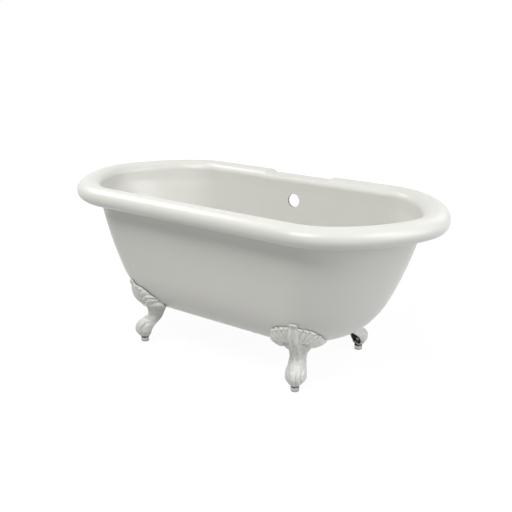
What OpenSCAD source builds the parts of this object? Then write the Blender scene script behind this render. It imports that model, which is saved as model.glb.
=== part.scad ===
// Double-ended roll top bath on four claw feet with levelling screws.
// Millimetres. X runs along the bath, +Y is the side with the tap ledge, Z is up.
// The origin is on the floor under the middle of the bath.

/* [Bath outline] */
// Overall length over the rolled rim
bath_l = 1500; // [1400:10:1800]
// Overall width over the rolled rim
bath_w = 754; // [700:1:820]
// Height of the rim above the floor
bath_h = 617; // [580:1:680]
// Height of the flat underside above the floor
base_h = 140; // [136:1:150]
// Half the length of the straight sides of the rim
side_straight = 401; // [380:1:430]
// Fullness of the ends, 2 is an ellipse and less is more pointed
end_full = 1.47; // [1.4:0.01:2]
// Bluntness of the very tip, 0 leaves a faint point
tip_blunt = 0.15; // [0.05:0.01:0.3]

/* [Rolled rim] */
// Width of the roll, from its outer edge to the inside of the bath
roll_w = 92; // [86:1:98]
// Height of the roll
roll_h = 67.5; // [62:0.5:74]
// Thickness of the rolled skin
roll_t = 7; // [5:0.5:9]
// Squareness of the roll's section, 2 is an ellipse
roll_square = 2.1; // [2:0.1:3]
// How far the lip curls under, past the lowest point of the roll
lip_turn = 30; // [15:1:40]

/* [Tap ledge] */
// Length of the flat ledge
ledge_l = 260; // [200:5:300]
// How far the ledge lies below the top of the rim
ledge_drop = 16; // [10:1:22]
// Length of the slope at each end of the ledge
ledge_slope = 22; // [20:1:40]

/* [Body] */
// Half the length of the body just under the roll
body_half_l = 659; // [640:1:664]
// Half the width of the body just under the roll
body_half_w = 292; // [288:0.5:297]
// Half the length of the straight sides just under the roll
body_straight = 397; // [380:1:420]
// Straight lean of each end, from the roll down to the underside
end_lean = 109; // [90:1:120]
// Further curve of each end
end_bow = 79; // [60:1:90]
// Straight lean of each side, from the roll down to the underside
side_lean = 14; // [5:1:20]
// Further curve of each side
side_bow = 46; // [36:1:54]
// Height over which the walls turn into the floor
turn_h = 147; // [130:1:160]
// How far the turn takes the walls in
turn_in = 83; // [76:1:92]
// Thickness of the walls
wall_t = 8; // [6:0.5:10]
// Thickness of the floor with the board in it
floor_t = 23; // [21:0.5:28]

/* [Floor board] */
// Length of the board under the floor
board_l = 640; // [500:10:660]
// Width of the board
board_w = 200; // [160:5:210]
// Thickness of the board
board_t = 14; // [9:0.5:15]
// Play between the board and the recess that holds it
board_play = 0.3; // [0.1:0.1:1]

/* [Waste and overflow] */
// Diameter of the overflow hole
overflow_d = 52; // [48:1:60]
// Height of the overflow hole above the floor
overflow_z = 514; // [500:1:520]
// Diameter of the waste hole
waste_d = 52; // [48:1:60]
// Width of the recess round the waste hole, at the top
recess_d = 96; // [88:1:110]
// Depth of that recess
recess_depth = 3; // [1:0.5:4]
// Width of the hole in the board under the waste
board_hole_d = 84; // [76:1:100]

/* [Feet] */
// Distance of the levelling screws from the middle, along the bath
foot_x = 352; // [340:1:360]
// Distance of the levelling screws from the middle, across the bath
foot_y = 214.5; // [212:0.5:218]
// Direction in which a foot faces, away from the length of the bath
foot_turn = 65; // [60:1:70]
// Thickness of the casting
cast_t = 7; // [5:0.5:8]
// Gap between the edge of the casting and the bath
foot_gap = 2; // [1.5:0.1:3]
// Thickness of the fan at its edge
fan_lip = 5; // [4:0.5:8]
// Half the width of the fan at its widest
fan_half_w = 91; // [84:1:96]
// Height of the knob above the top edge of the fan
knob_rise = 15; // [8:1:18]
// Half the width of the paw
paw_half_w = 38; // [34:1:42]
// Half the width of the ankle
ankle_half_w = 29; // [28:1:32]
// Height of the underside of the paw above the floor
paw_z = 22; // [21:0.5:24]
// Thickness of the web that the bolts pass through
web_t = 8; // [6:0.5:10]
// Height of the top of the web above the floor
web_z = 122; // [118:1:124]

/* [Foot fixings] */
// Diameter of the bolts
bolt_d = 8; // [6:1:8]
// Length of a bolt under its head
bolt_l = 22; // [18:1:24]
// Distance between the two bolts of a foot
bolt_pitch = 20; // [18:0.5:22]
// Distance of the middle of the pair behind the levelling screw
bolt_back = 48; // [47:0.5:49]
// Width of a bolt head across its flats
bolt_flats = 13; // [10:0.5:14]
// Thickness of a bolt head
bolt_head_h = 5.5; // [4:0.5:6]
// Diameter of a washer
washer_d = 16; // [15:0.5:17]
// Thickness of a washer
washer_t = 1.6; // [1:0.1:2]
// Outer diameter of a threaded insert
insert_d = 12; // [11:0.5:13]
// Length of a threaded insert
insert_l = 15; // [12:0.5:16]
// Play of the bolts in the holes of the web
bolt_play = 0.5; // [0.2:0.1:1]
// Fit of a screw in its thread, on the radius
thread_fit = 0.05; // [0.02:0.01:0.1]
// Half the width of a mounting block
block_half_w = 14; // [12:0.5:14.5]
// Length of a mounting block
block_l = 38; // [36:0.5:39]
// Glue gap between a mounting block and the bath
block_glue = 0.3; // [0.2:0.05:0.5]

/* [Levelling screws] */
// Diameter of the screw
stud_d = 10; // [8:1:12]
// Length of the screw above its head
stud_l = 52; // [48:1:60]
// Width of the hexagon head across its flats
head_flats = 28; // [24:0.5:30]
// Gap between the head and the paw at the middle setting
paw_gap = 2; // [2:0.5:6]
// Diameter of the glide that stands on the floor
glide_d = 29; // [18:0.5:32]
// Thickness of the glide
glide_h = 4; // [3.5:0.5:6]
// Diameter of the pivot that turns in the glide
pivot_d = 8; // [6:0.5:10]
// Depth of the pivot in the glide
pivot_l = 2.5; // [1.5:0.5:3]
// Running gap between the head and the glide
head_gap = 0.2; // [0.1:0.05:0.4]
// Outer diameter of the threaded boss in the paw
boss_d = 19; // [18:0.5:22]
// Height of the boss above the underside of the paw
boss_h = 16; // [14:0.5:26]
// Width of the lock nut across its flats
nut_flats = 17; // [15:0.5:19]
// Thickness of the lock nut
nut_h = 8; // [6:0.5:10]

/* [Hidden] */
$fn = 48;

// How finely the skin of the bath is divided
end_steps = 10;
side_steps = [0.8, 0.58];
slope_steps = [1, 0.65, 0.3, 0];
middle_step = 0.5;
wall_steps = 4;
turn_steps = 4;
roll_step = 22.5;
curl_step = 30;
flat_steps = [0.55, 1];
// Depth over which the plan of the rim becomes the plan of the body
blend_h = 70;
// How far the cut for the overflow reaches in from the body's widest place
hole_reach = 60;
// How finely a foot is divided
foot_cols = 24;
foot_rows_per_station = 2;
// Rounds of halving when a point on the bath's skin is searched for
search_rounds = 16;
search_span = 170;
// Overlap of two solids that are one piece, and overshoot of a cut
eps = 0.01;
cut = 1;

// The foot casting: how far it reaches behind the levelling screw, the widths of its
// lobes and its knob, how steep the knob's sides are, and how its top edge falls away
// to the sides
foot_back = -72;
lobe_half_w = 0.6 * fan_half_w;
knob_half_w = 15;
knob_rows = 3;
knob_square = 4;
edge_droop = 3;
// Least rise from row to row of the inner face, over the floor of the paw
row_rise = 0.4;
// The web for the bolts: its place among the foot's stations, its back edge, and how far
// it reaches into the casting's wall
web_station = 7.65;
web_back = -68;
web_in = 3;
// Squares along each side of a mounting block's top
block_cols = 4;

roll_mid_z = bath_h - roll_h / 2;
body_top_z = bath_h - roll_h;
body_drop = body_top_z - base_h;
end_half = bath_l / 2;
side_half = bath_w / 2;
ledge_z = bath_h - ledge_drop;
floor_z = base_h + floor_t;
nut_z = paw_z + boss_h;
under_web_z = web_z - web_t;
// How far a bolt reaches into its block
bolt_in = bolt_l - web_t - washer_t;
head_z = glide_h + head_gap;
stud_z = paw_z - paw_gap;

// Corner signs of the four feet, as [along, across]
FRONT_LEFT = [-1, -1];
FRONT_RIGHT = [1, -1];
BACK_LEFT = [-1, 1];
BACK_RIGHT = [1, 1];
CORNERS = [FRONT_LEFT, FRONT_RIGHT, BACK_LEFT, BACK_RIGHT];

function signed_pow(v, e) = sign(v) * pow(abs(v), e);
function mix(a, b, f) = a + (b - a) * f;
function smooth(f) = let (c = min(1, max(0, f))) c * c * (3 - 2 * c);

// Plan of the bath: straight sides, then ends that follow a rounded curve

// Places along the straight side, as shares of its half length, down to the middle
ledge_share = ledge_l / 2 / side_straight;
slope_share = ledge_slope / side_straight;
side_shares = concat(side_steps, [for (f = slope_steps) ledge_share + slope_share * f],
    [ledge_share * middle_step, 0]);
quarter = end_steps + len(side_shares);
around = 4 * quarter;

// Across an end, end_w gives the share of the curve used up at v of the half width,
// and end_v is the way back
function end_raw(v) = pow(v * v + tip_blunt * tip_blunt, end_full / 2) - pow(tip_blunt, end_full);
end_whole = end_raw(1);
function end_w(v) = end_raw(v) / end_whole;
function end_v(w) =
    sqrt(max(0, pow(w * end_whole + pow(tip_blunt, end_full), 2 / end_full) - tip_blunt * tip_blunt));

// One quarter's point k, with its outward direction: [x, y, nx, ny]
function quarter_point(k, a, b, s) =
    k > end_steps
    ? [s * side_shares[k - end_steps - 1], b, 0, 1]
    : let (t = 90 * k / end_steps, c = a - s,
           v = end_v(pow(sin(t), 2)),
           nx = 2 * cos(t) / c,
           ny = end_full * v * pow(v * v + tip_blunt * tip_blunt, end_full / 2 - 1) / end_whole / b,
           n = norm([nx, ny]))
      [s + c * cos(t), b * v, nx / n, ny / n];

// Point i of a whole ring, drawn in by d along its outward direction
function plan_point(i, a, b, s, d) =
    let (q = floor(i / quarter), k = i % quarter,
         p = quarter_point(q % 2 == 0 ? k : quarter - k, a, b, s),
         sx = q == 0 || q == 3 ? 1 : -1, sy = q < 2 ? 1 : -1)
    [sx * (p.x - d * p[2]), sy * (p.y - d * p[3])];

// Profile of the body: half sizes at a depth under the roll and an angle of the turn
function half_l(z) = let (f = max(0, (body_top_z - z) / body_drop))
    body_half_l - end_lean * f - end_bow * f * f;
function half_w(z) = let (f = max(0, (body_top_z - z) / body_drop))
    body_half_w - side_lean * f - side_bow * f * f;
function turn_share(z) = let (h = min(1, max(0, (base_h + turn_h - z) / turn_h)))
    1 - sqrt(max(0, 1 - h * h));
function outer_l(z) = half_l(z) - turn_in * turn_share(z);
function outer_w(z) = half_w(z) - turn_in * turn_share(z);
function straight(a) = body_straight * a / body_half_l;

// A place in the plan is inside the body's outer skin at height z
function in_body(x, y, z) =
    z < base_h ? false
    : let (a = outer_l(z), b = outer_w(z), s = straight(a),
           u = max(0, abs(x) - s) / (a - s), v = abs(y) / b)
      u * u + end_w(v) < 1;

// The ledge flattens the roll on the +Y side
function ledge_share_at(p) = p.y < 0 ? 0
    : 1 - smooth((abs(p.x) - ledge_l / 2) / ledge_slope);
function ledged(p, z, top) = z - ledge_share_at(p) * max(0, z - top);

// Rings of the roll: a is the angle in its section, 180 at the inside, 90 on top, 0 outside
function roll_ring(a, t, top) =
    let (d = roll_w / 2 - (roll_w / 2 - t) * signed_pow(cos(a), 2 / roll_square),
         z = roll_mid_z + (roll_h / 2 - t) * signed_pow(sin(a), 2 / roll_square))
    [for (i = [0 : around - 1]) let (p = plan_point(i, end_half, side_half, side_straight, d))
        [p.x, p.y, ledged(p, z, top)]];

// Rings of the body wall, drawn in by t; near the roll they take up the plan of the roll
function wall_ring(z, t) =
    let (f = smooth((roll_mid_z - z) / blend_h), a = outer_l(z) - t, b = outer_w(z) - t)
    [for (i = [0 : around - 1])
        let (p = plan_point(i, end_half, side_half, side_straight, roll_w - roll_t + t * roll_t / wall_t),
             q = plan_point(i, a, b, straight(a), 0))
        [mix(p.x, q.x, f), mix(p.y, q.y, f), z]];

// Rings of the turn: w is 0 at the wall and 90 at the floor
function turn_ring(w, t, ft) =
    let (z = base_h + turn_h * (1 - sin(w)), in = turn_in * (1 - cos(w)),
         a = half_l(z) - in - t * cos(w), b = half_w(z) - in - t * cos(w))
    [for (i = [0 : around - 1]) let (p = plan_point(i, a, b, straight(a), 0))
        [p.x, p.y, z + ft * sin(w)]];

// Rings of the flat floor, shrunk to a share of its size
function flat_ring(f, z) =
    let (a = (half_l(base_h) - turn_in) * f, b = (half_w(base_h) - turn_in) * f)
    [for (i = [0 : around - 1]) let (p = plan_point(i, a, b, straight(a), 0)) [p.x, p.y, z]];

// The skin from the middle of the floor up, over the roll and down again underneath
wall_low = base_h + turn_h;
wall_heights = [for (k = [0 : wall_steps]) mix(wall_low, body_top_z, k / wall_steps)];
turn_angles = [for (k = [1 : turn_steps]) 90 * k / turn_steps];
lip_angle = -90 - lip_turn;
skin_rings = concat(
    [for (f = flat_steps) if (f < 1) flat_ring(f, floor_z)],
    [for (k = [turn_steps - 1 : -1 : 0]) turn_ring(turn_angles[k], wall_t, floor_t)],
    [for (z = wall_heights) wall_ring(z, wall_t)],
    [for (a = [180 : -roll_step : -90]) roll_ring(a, 0, ledge_z)],
    [roll_ring(lip_angle, 0, ledge_z)],
    [roll_ring(lip_angle, roll_t, ledge_z - roll_t)],
    [for (a = [-90 : curl_step : 180]) roll_ring(a, roll_t, ledge_z - roll_t)],
    [for (k = [wall_steps : -1 : 0]) wall_ring(wall_heights[k], 0)],
    [for (w = turn_angles) turn_ring(w, 0, 0)],
    [for (k = [len(flat_steps) - 1 : -1 : 0]) if (flat_steps[k] < 1) flat_ring(flat_steps[k], base_h)]);

module ring_solid(rings, first, last) {
    n = len(rings[0]);
    m = len(rings);
    points = concat([for (r = rings, p = r) p], [first, last]);
    faces = concat(
        [for (i = [0 : n - 1]) [m * n, (i + 1) % n, i]],
        [for (r = [0 : m - 2], i = [0 : n - 1])
            [r * n + i, r * n + (i + 1) % n, (r + 1) * n + (i + 1) % n, (r + 1) * n + i]],
        [for (i = [0 : n - 1]) [(m - 1) * n + i, (m - 1) * n + (i + 1) % n, m * n + 1]]);
    polyhedron(points, faces, convexity = 12);
}

module stadium(l, w) {
    square([l - w, w], center = true);
    for (s = [-1, 1]) translate([s * (l - w) / 2, 0]) circle(d = w);
}

module bath_shell() {
    color("ivory") difference() {
        ring_solid(skin_rings, [0, 0, floor_z], [0, 0, base_h]);
        translate([0, 0, base_h - cut]) linear_extrude(board_t + cut)
            stadium(board_l + 2 * board_play, board_w + 2 * board_play);
        translate([0, 0, base_h]) cylinder(d = waste_d, h = floor_t + cut);
        translate([0, 0, floor_z - recess_depth])
            cylinder(d1 = recess_d - 2 * recess_depth, d2 = recess_d, h = recess_depth + eps);
        translate([0, body_half_w - hole_reach, overflow_z]) rotate([-90, 0, 0])
            cylinder(d = overflow_d, h = hole_reach + cut);
    }
}

module base_board() {
    color("burlywood") translate([0, 0, base_h]) linear_extrude(board_t) difference() {
        stadium(board_l, board_w);
        circle(d = board_hole_d);
    }
}

// Feet: r runs outward from the levelling screw, t sideways

// Place of a foot's (r, t) in the plan, for the foot at the +X, +Y corner
function foot_xy(r, t) = [foot_x + r * cos(foot_turn) - t * sin(foot_turn),
                          foot_y + r * sin(foot_turn) + t * cos(foot_turn)];
function foot_in_body(r, t, z) = let (p = foot_xy(r, t)) in_body(p.x, p.y, z);

// Outward distance of the bath's skin at sideways place t and height z
function skin_r(t, z, low = -search_span, high = search_span, n = search_rounds) =
    n == 0 ? high
    : let (m = (low + high) / 2)
      foot_in_body(m, t, z) ? skin_r(t, z, m, high, n - 1) : skin_r(t, z, low, m, n - 1);

// Height of the bath's skin over (r, t)
function skin_z(r, t, low = base_h, high = body_top_z, n = search_rounds) =
    n == 0 ? low
    : let (m = (low + high) / 2)
      foot_in_body(r, t, m) ? skin_z(r, t, low, m, n - 1) : skin_z(r, t, m, high, n - 1);

// Stations up the foot: [height of the middle, height of the edge, front, half width,
// back edge, squareness of the section]
stations = [
    [paw_z, paw_z, 14, 0.41 * paw_half_w, -11, 2],
    [30, 30, 23, 0.74 * paw_half_w, -10, 2],
    [42, 42, 30, 0.95 * paw_half_w, -12, 2.1],
    [55, 55, 33, paw_half_w, -16, 2.1],
    [68, 68, 29, 0.97 * paw_half_w, -26, 2.2],
    [80, 80, 16, 0.88 * paw_half_w, -41, 2.2],
    [92, 92, -8, mix(ankle_half_w, paw_half_w, 0.1), -56, 2.3],
    [106, 106, -17, ankle_half_w, -66, 2.4],
    [124, 124, -16, ankle_half_w + 3, foot_back + 2, 2.4],
    [140, 141, -8, ankle_half_w + 11, foot_back, 2.4],
    [152, 152, 2, lobe_half_w, foot_back, 2.3],
    [166, 160, 12, 0.84 * fan_half_w, foot_back, 2.2],
    [186, 172, 26, fan_half_w, foot_back, 2.1],
    [210, 188, 36, 0.97 * fan_half_w, foot_back, 2],
    [228, 200, 39, 0.93 * fan_half_w, foot_back, 2],
    [243, 208, 39, 0.91 * fan_half_w, foot_back, 2]];
last_station = len(stations) - 1;
foot_rows = last_station * foot_rows_per_station;

// A smooth curve through the stations, row by row
function station(k) = stations[min(last_station, max(0, k))];
function row_values(i) =
    let (k = min(last_station - 1, floor(i / foot_rows_per_station)), f = i / foot_rows_per_station - k,
         a = station(k - 1), b = station(k), c = station(k + 1), d = station(k + 2))
    b + f * 0.5 * (c - a + f * (2 * a - 5 * b + 4 * c - d + f * (3 * (b - c) + d - a)));

// Point j of row i, on the outer face (t = 0) or on the inner face (t = cast_t)
function foot_point(i, j, t) =
    let (v = row_values(i), angle = 180 * j / foot_cols,
         z0 = t > 0 ? max(v[0], paw_z + cast_t + i * row_rise) : v[0],
         w = v[3] - t,
         side = w * signed_pow(cos(angle), 2 / v[5]),
         share = abs(side) / w,
         knob = knob_rise * smooth(1 + (i - foot_rows) / knob_rows)
             * exp(-pow(abs(side) / knob_half_w, knob_square)),
         z = z0 + (v[1] - v[0]) * pow(share, edge_droop) + knob,
         edge = max(v[4], skin_r(w * sign(cos(angle)), v[1]) + foot_gap),
         bow = mix(edge, v[2] - t, pow(max(0, sin(angle)), 2 / v[5])),
         skin = skin_r(side, z) + foot_gap + (t > 0 ? 0 : fan_lip * (1 - pow(share, 8))))
    [max(bow, skin), side, z];

module foot_shell() {
    n = foot_cols + 1;
    m = foot_rows + 1;
    outer = [for (i = [0 : foot_rows], j = [0 : foot_cols]) foot_point(i, j, 0)];
    inner = [for (i = [0 : foot_rows], j = [0 : foot_cols]) foot_point(i, j, cast_t)];
    function o(i, j) = i * n + j;
    function u(i, j) = m * n + i * n + j;
    faces = concat(
        [for (i = [0 : m - 2], j = [0 : n - 2]) [o(i, j), o(i, j + 1), o(i + 1, j + 1), o(i + 1, j)]],
        [for (i = [0 : m - 2], j = [0 : n - 2]) [u(i, j), u(i + 1, j), u(i + 1, j + 1), u(i, j + 1)]],
        [for (j = [0 : n - 2]) [o(m - 1, j), o(m - 1, j + 1), u(m - 1, j + 1), u(m - 1, j)]],
        [for (i = [0 : m - 2]) [o(i, 0), o(i + 1, 0), u(i + 1, 0), u(i, 0)]],
        [for (i = [0 : m - 2]) [o(i, n - 1), u(i, n - 1), u(i + 1, n - 1), o(i + 1, n - 1)]],
        [[for (j = [n - 1 : -1 : 0]) o(0, j)]],
        [[for (j = [0 : n - 1]) u(0, j)]],
        [[o(0, 0), u(0, 0), u(0, n - 1), o(0, n - 1)]]);
    polyhedron(concat(outer, inner), faces, convexity = 8);
}

// The web across the leg, with the leg's own section drawn in from its outer face
module foot_web() {
    translate([0, 0, web_z - web_t]) linear_extrude(web_t)
        polygon([for (j = [0 : foot_cols])
            let (p = foot_point(web_station * foot_rows_per_station, j, cast_t - web_in))
            [max(p.x, web_back), p.y]]);
}

// Moves a foot's own frame to the +X, +Y corner of the bath
module at_foot() {
    translate([foot_x, foot_y, 0]) rotate([0, 0, foot_turn]) children();
}

// The same at any corner
module corner(c) {
    mirror([c.x < 0 ? 1 : 0, 0, 0]) mirror([0, c.y < 0 ? 1 : 0, 0]) at_foot() children();
}

module bolt_places() {
    for (s = [-1, 1]) translate([-bolt_back + s * bolt_pitch / 2, 0, 0]) children();
}

module foot(c) {
    color("whitesmoke") corner(c) difference() {
        union() {
            foot_shell();
            translate([0, 0, paw_z]) cylinder(d = boss_d, h = boss_h);
            foot_web();
        }
        translate([0, 0, paw_z - cut]) cylinder(r = stud_d / 2 + thread_fit, h = boss_h + 2 * cut);
        bolt_places() translate([0, 0, under_web_z - cut])
            cylinder(d = bolt_d + 2 * bolt_play, h = web_t + 2 * cut);
    }
}

module block(c) {
    n = block_cols + 1;
    r0 = -bolt_back - block_l / 2;
    grid = [for (i = [0 : block_cols], j = [0 : block_cols])
        [r0 + block_l * i / block_cols, block_half_w * (2 * j / block_cols - 1)]];
    top = [for (g = grid) [g.x, g.y, skin_z(g.x, g.y) - block_glue]];
    low = [for (g = grid) [g.x, g.y, web_z]];
    edge = concat([for (j = [0 : n - 2]) j], [for (i = [0 : n - 2]) i * n + n - 1],
        [for (j = [n - 1 : -1 : 1]) (n - 1) * n + j], [for (i = [n - 1 : -1 : 1]) i * n]);
    faces = concat(
        [for (i = [0 : n - 2], j = [0 : n - 2]) let (k = i * n + j) [k, k + 1, k + n + 1, k + n]],
        [for (i = [0 : n - 2], j = [0 : n - 2]) let (k = n * n + i * n + j)
            [k, k + n, k + n + 1, k + 1]],
        [for (k = [0 : len(edge) - 1]) let (a = edge[k], b = edge[(k + 1) % len(edge)])
            [a, n * n + a, n * n + b, b]]);
    color("tan") corner(c) difference() {
        polyhedron(concat(top, low), faces, convexity = 4);
        bolt_places() translate([0, 0, web_z - cut]) {
            cylinder(r = insert_d / 2 + thread_fit, h = insert_l + cut);
            cylinder(r = bolt_d / 2 + bolt_play, h = bolt_in + 2 * cut);
        }
    }
}

module foot_inserts() {
    color("goldenrod") for (c = CORNERS) corner(c) bolt_places() translate([0, 0, web_z]) difference() {
        cylinder(d = insert_d, h = insert_l);
        translate([0, 0, -cut]) cylinder(r = bolt_d / 2 + thread_fit, h = insert_l + 2 * cut);
    }
}

module foot_bolts() {
    color("silver") for (c = CORNERS) corner(c) bolt_places() translate([0, 0, under_web_z - washer_t]) {
        cylinder(d = bolt_d, h = bolt_l);
        translate([0, 0, -bolt_head_h]) cylinder(d = bolt_flats / cos(30), h = bolt_head_h, $fn = 6);
    }
}

module foot_washers() {
    color("gainsboro") for (c = CORNERS) corner(c) bolt_places()
        translate([0, 0, under_web_z - washer_t]) difference() {
            cylinder(d = washer_d, h = washer_t);
            translate([0, 0, -cut]) cylinder(d = bolt_d + 2 * bolt_play, h = washer_t + 2 * cut);
        }
}

module lock_nuts() {
    color("silver") for (c = CORNERS) corner(c) translate([0, 0, nut_z]) difference() {
        cylinder(d = nut_flats / cos(30), h = nut_h, $fn = 6);
        translate([0, 0, -cut]) cylinder(r = stud_d / 2 + thread_fit, h = nut_h + 2 * cut);
    }
}

module screw(c) {
    color("darkgray") corner(c) {
        translate([0, 0, glide_h - pivot_l]) cylinder(d = pivot_d, h = pivot_l + head_gap + eps);
        translate([0, 0, head_z]) cylinder(d = head_flats / cos(30), h = stud_z - head_z, $fn = 6);
        translate([0, 0, stud_z - eps]) cylinder(d = stud_d, h = stud_l + eps);
    }
}

module glide(c) {
    color("dimgray") corner(c) difference() {
        cylinder(d = glide_d, h = glide_h);
        translate([0, 0, glide_h - pivot_l - head_gap])
            cylinder(r = pivot_d / 2 + thread_fit, h = pivot_l + cut);
    }
}

bath_shell();
base_board();
foot(FRONT_LEFT);  // foot_front_left
foot(FRONT_RIGHT);  // foot_front_right
foot(BACK_LEFT);  // foot_back_left
foot(BACK_RIGHT);  // foot_back_right
block(FRONT_LEFT);  // block_front_left
block(FRONT_RIGHT);  // block_front_right
block(BACK_LEFT);  // block_back_left
block(BACK_RIGHT);  // block_back_right
foot_inserts();
foot_bolts();
foot_washers();
lock_nuts();
screw(FRONT_LEFT);  // screw_front_left
screw(FRONT_RIGHT);  // screw_front_right
screw(BACK_LEFT);  // screw_back_left
screw(BACK_RIGHT);  // screw_back_right
glide(FRONT_LEFT);  // glide_front_left
glide(FRONT_RIGHT);  // glide_front_right
glide(BACK_LEFT);  // glide_back_left
glide(BACK_RIGHT);  // glide_back_right
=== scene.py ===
# %% [markdown]
# A double-ended roll top bath on four cast claw feet. The construction comes packed, with
# its plain solids, its joints and its sizes. This script dresses it: a smooth acrylic skin,
# ornate castings, real threads and chamfers, and a finish on every surface.
# Everything is worked out in millimetres, as on the drawing, and put into Blender in metres.

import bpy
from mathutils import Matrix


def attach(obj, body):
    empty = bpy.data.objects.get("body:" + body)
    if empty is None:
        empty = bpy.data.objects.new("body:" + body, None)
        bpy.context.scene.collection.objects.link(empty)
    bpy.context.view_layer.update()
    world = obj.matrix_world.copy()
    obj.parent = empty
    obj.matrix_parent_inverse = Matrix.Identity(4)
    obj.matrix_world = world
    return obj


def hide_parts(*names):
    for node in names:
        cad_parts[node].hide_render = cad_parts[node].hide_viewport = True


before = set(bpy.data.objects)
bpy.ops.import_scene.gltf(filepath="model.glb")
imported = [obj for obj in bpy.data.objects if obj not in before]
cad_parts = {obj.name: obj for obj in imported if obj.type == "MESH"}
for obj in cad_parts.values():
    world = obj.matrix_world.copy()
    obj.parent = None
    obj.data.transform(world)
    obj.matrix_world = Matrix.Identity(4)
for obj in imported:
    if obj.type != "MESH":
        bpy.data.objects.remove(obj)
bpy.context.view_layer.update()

# %% Tools for the rest of the lesson
import math

import bmesh
import bpy
import numpy as np
from mathutils import Vector

MM = 0.001
scene = bpy.context.scene
scene.view_settings.view_transform = "Standard"

# %% [markdown]
# The camera comes first, because every choice of detail depends on what it sees. It stands
# to the right of the bath and a little above it, about 2.8 m away, with a lens of 54 mm.
# It is placed by the point it aims at, two angles and a distance, which are easy to read
# and to change. A track quaternion turns those into the camera's rotation.

# %% Camera
AIM = Vector((0.074583, -0.063591, 0.386795))
CAMERA_AZIMUTH = math.radians(36.813)
CAMERA_ELEVATION = math.radians(17.454)
CAMERA_DISTANCE = 2.7683
FOCAL_PIXELS = 771.63
PICTURE_PIXELS = 512

away = Vector((math.sin(CAMERA_AZIMUTH) * math.cos(CAMERA_ELEVATION),
               -math.cos(CAMERA_AZIMUTH) * math.cos(CAMERA_ELEVATION),
               math.sin(CAMERA_ELEVATION)))
camera_data = bpy.data.cameras.new("camera")
camera_data.sensor_width = 36
camera_data.lens = camera_data.sensor_width * FOCAL_PIXELS / PICTURE_PIXELS
camera = bpy.data.objects.new("camera", camera_data)
camera.location = AIM + away * CAMERA_DISTANCE
camera.rotation_euler = away.to_track_quat("Z", "Y").to_euler()
scene.collection.objects.link(camera)
scene.camera = camera
print("camera at", [round(c, 3) for c in camera.location], "lens", round(camera_data.lens, 2))

# %% [markdown]
# A white studio is a floor, a world and a few large lamps. Large lamps give soft shadows,
# as the softboxes round a product do. Light Path tells a shader which kind of ray has met
# it: rays from the camera, or from a mirror-like surface, see a white surround, while the
# light that falls on the bath stays at a plain level. The floor keeps part of its true
# shade, so the bath's soft shadow shows on it.

# %% Helpers for shader nodes
def new_tree(owner):
    """An empty node tree, and a function that adds a node with its values and links."""
    owner.use_nodes = True
    tree = owner.node_tree
    tree.nodes.clear()

    def add(kind, inputs=None, **settings):
        node = tree.nodes.new(kind)
        for name, value in settings.items():
            setattr(node, name, value)
        for name, value in (inputs or {}).items():
            if isinstance(value, bpy.types.NodeSocket):
                tree.links.new(value, node.inputs[name])
            else:
                node.inputs[name].default_value = value
        return node

    return tree, add


def seen_directly(add):
    """1 where the camera, a reflection or a clear surface looks at this shader, else 0."""
    path = add("ShaderNodeLightPath")
    camera_ray, glossy_ray = path.outputs["Is Camera Ray"], path.outputs["Is Glossy Ray"]
    either = add("ShaderNodeMath", {0: camera_ray, 1: glossy_ray}, operation="MAXIMUM").outputs[0]
    clear_ray = path.outputs["Is Transmission Ray"]
    return add("ShaderNodeMath", {0: either, 1: clear_ray}, operation="MAXIMUM").outputs[0]


# %% World and floor
WHITE = (1, 1, 1, 1)
AMBIENT, AMBIENT_COLOUR = 0.05, (0.97, 0.985, 1, 1)
FLOOR_COLOUR = (0.50, 0.50, 0.495, 1)
FLOOR_GLOW_NEAR, FLOOR_GLOW_FAR = 0.87, 1.0
FLOOR_GLOW_LEVEL = 1.1
FLOOR_FADE_FROM, FLOOR_FADE_TO = 1.2, 3.0
FLOOR_HALF = 60

world = bpy.data.worlds.new("studio")
scene.world = world
tree, add = new_tree(world)
soft = add("ShaderNodeBackground", {"Color": AMBIENT_COLOUR, "Strength": AMBIENT})
white = add("ShaderNodeBackground", {"Color": WHITE})
both = add("ShaderNodeMixShader", {0: seen_directly(add), 1: soft.outputs[0], 2: white.outputs[0]})
add("ShaderNodeOutputWorld", {"Surface": both.outputs[0]})

floor_finish = bpy.data.materials.new("floor_white")
tree, add = new_tree(floor_finish)
matt = add("ShaderNodeBsdfDiffuse", {"Color": FLOOR_COLOUR})
glow = add("ShaderNodeEmission", {"Color": WHITE, "Strength": FLOOR_GLOW_LEVEL})
spot = add("ShaderNodeTexCoord").outputs["Object"]
distance = add("ShaderNodeVectorMath", {0: spot}, operation="LENGTH").outputs["Value"]
fade = add("ShaderNodeMapRange", {"Value": distance, 1: FLOOR_FADE_FROM, 2: FLOOR_FADE_TO,
                                  3: FLOOR_GLOW_NEAR, 4: FLOOR_GLOW_FAR}).outputs[0]
share = add("ShaderNodeMath", {0: seen_directly(add), 1: fade}, operation="MULTIPLY")
both = add("ShaderNodeMixShader", {0: share.outputs[0], 1: matt.outputs[0], 2: glow.outputs[0]})
add("ShaderNodeOutputMaterial", {"Surface": both.outputs[0]})

floor_mesh = bpy.data.meshes.new("studio_floor")
floor_corners = [(x * FLOOR_HALF, y * FLOOR_HALF, 0) for x, y in ((-1, -1), (1, -1), (1, 1), (-1, 1))]
floor_mesh.from_pydata(floor_corners, [], [(0, 1, 2, 3)])
floor_mesh.materials.append(floor_finish)
floor = bpy.data.objects.new("studio_floor", floor_mesh)
scene.collection.objects.link(floor)


# %% Lamps
BATH_MIDDLE = (0, 0, 0.35)
WARM, COOL = (1, 0.995, 0.975), (0.98, 0.99, 1)


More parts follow.
